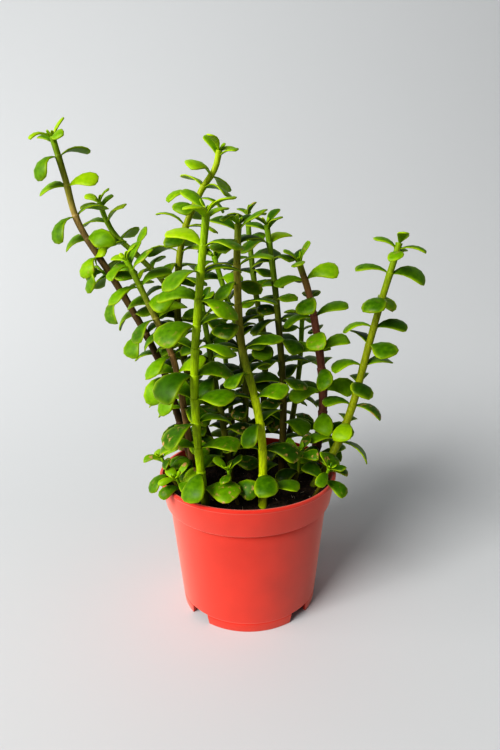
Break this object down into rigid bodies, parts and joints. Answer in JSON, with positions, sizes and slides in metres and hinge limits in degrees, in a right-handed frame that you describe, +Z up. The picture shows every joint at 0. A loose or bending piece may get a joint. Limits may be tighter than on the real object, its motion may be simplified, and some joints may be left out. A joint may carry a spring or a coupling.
{
  "type": "potted elephant bush",
  "caption": "Bushy leafy succulent with upright jointed stems and small rounded leaves in pairs, growing in a round plastic nursery pot.",
  "frame": {"origin": "middle of the whole plant's footprint, at the surface that the pot stands on", "axes": "+Z up, +X to the right and -Y to the front as the picture shows the plant"},
  "size_m": [0.2448, 0.149, 0.3211],
  "materials": {
    "pot": "coral red moulded polypropylene, softly glossy",
    "soil": "dark damp peat, crumbly and dull",
    "foliage": "living succulent leaf and stem, satin green",
    "stem": "living jointed stem, green above and brown at its foot",
    "grit": "pale grit grains and dry plant scraps on the peat"
  },
  "bodies": {
    "root": {"pot": "pot", "soil": "soil", "leafy_stem_far_left": "foliage", "leafy_stem_back_left": "foliage", "leafy_stem_left": "foliage", "leafy_stem_tall_back": "foliage", "leafy_stem_front_left": "foliage", "leafy_stem_front": "foliage", "leafy_stem_back": "foliage", "leafy_stem_middle": "foliage", "leafy_stem_mid_right": "foliage", "leafy_stem_far_right": "foliage", "leafy_stem_back_middle": "foliage", "leafy_stem_inner": "foliage", "leafy_stem_back_right": "foliage", "leafy_stem_rear": "foliage", "low_shoot_left": "foliage", "low_shoot_front_left": "foliage", "low_shoot_front": "foliage", "low_shoot_front_right": "foliage", "low_shoot_right": "foliage"}
  },
  "joints": []
}
